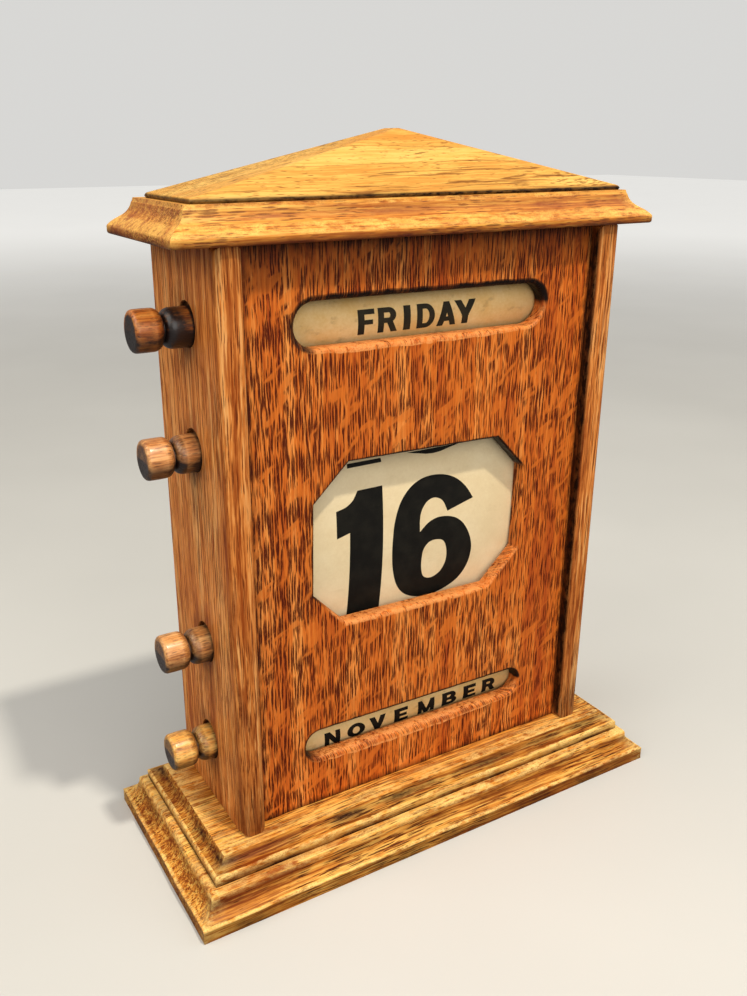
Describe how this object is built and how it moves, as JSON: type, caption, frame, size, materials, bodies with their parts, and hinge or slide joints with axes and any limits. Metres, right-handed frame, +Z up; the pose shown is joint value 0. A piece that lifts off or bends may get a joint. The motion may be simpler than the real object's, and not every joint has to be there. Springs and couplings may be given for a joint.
{
  "type": "perpetual desk calendar",
  "caption": "Wooden desk calendar: windowed case on a moulded plinth; side knobs turn rollers that show day, date and month.",
  "frame": {"origin": "middle of the plinth's underside, on the desk", "axes": "+X to the right seen from the front, +Y to the back, +Z up; the windows face -Y and the knobs are on the -X side"},
  "size_m": [0.23, 0.099, 0.291],
  "materials": {
    "golden_oak": "waxed quarter-sawn oak, golden, worn along the mouldings",
    "side_oak": "waxed oak with straight upright grain",
    "panel_oak": "varnished red-brown oak with dense dark pores",
    "knob_oak": "turned and waxed hardwood, darkened by handling",
    "beech": "bare beech",
    "band_paper": "aged cream paper, matt, printed black",
    "strip_paper": "stiff cream paper, matt, printed black",
    "steel": "plain drawn steel",
    "brass": "dull brass"
  },
  "bodies": {
    "case": {"lower_plinth": "golden_oak", "upper_plinth": "golden_oak", "left_side": "side_oak", "right_side": "side_oak", "front_panel": "panel_oak", "back_panel": "side_oak", "cornice": "golden_oak", "pediment": "golden_oak", "glue_blocks": "beech", "base_screws": "steel", "back_screws": "brass", "cornice_dowels": "beech", "pediment_dowels": "beech", "date_strip": "strip_paper"},
    "day": {"day_knob": "knob_oak", "day_roller": "beech", "day_band": "band_paper", "day_pivot": "steel"},
    "upper_date": {"upper_date_knob": "knob_oak", "upper_date_roller": "beech", "upper_date_coil": "strip_paper", "upper_date_pivot": "steel"},
    "lower_date": {"lower_date_knob": "knob_oak", "lower_date_roller": "beech", "lower_date_coil": "strip_paper", "lower_date_pivot": "steel"},
    "month": {"month_knob": "knob_oak", "month_roller": "beech", "month_band": "band_paper", "month_pivot": "steel"}
  },
  "joints": [
    {"name": "day_turn", "type": "hinge", "parent": "case", "child": "day", "pos_m": [0, 0.0006, 0.225], "axis": [1, 0, 0], "continuous": true},
    {"name": "upper_date_turn", "type": "hinge", "parent": "case", "child": "upper_date", "pos_m": [0, 0.0012, 0.17811], "axis": [1, 0, 0], "range_deg": [-4100, 4100]},
    {"name": "lower_date_turn", "type": "hinge", "parent": "case", "child": "lower_date", "pos_m": [0, 0.0012, 0.09789], "axis": [1, 0, 0], "range_deg": [-4100, 4100]},
    {"name": "month_turn", "type": "hinge", "parent": "case", "child": "month", "pos_m": [0, 0.0034, 0.0506], "axis": [1, 0, 0], "continuous": true}
  ],
  "couplings": [
    {"joint": "lower_date_turn", "follows": "upper_date_turn", "ratio": 1}
  ]
}
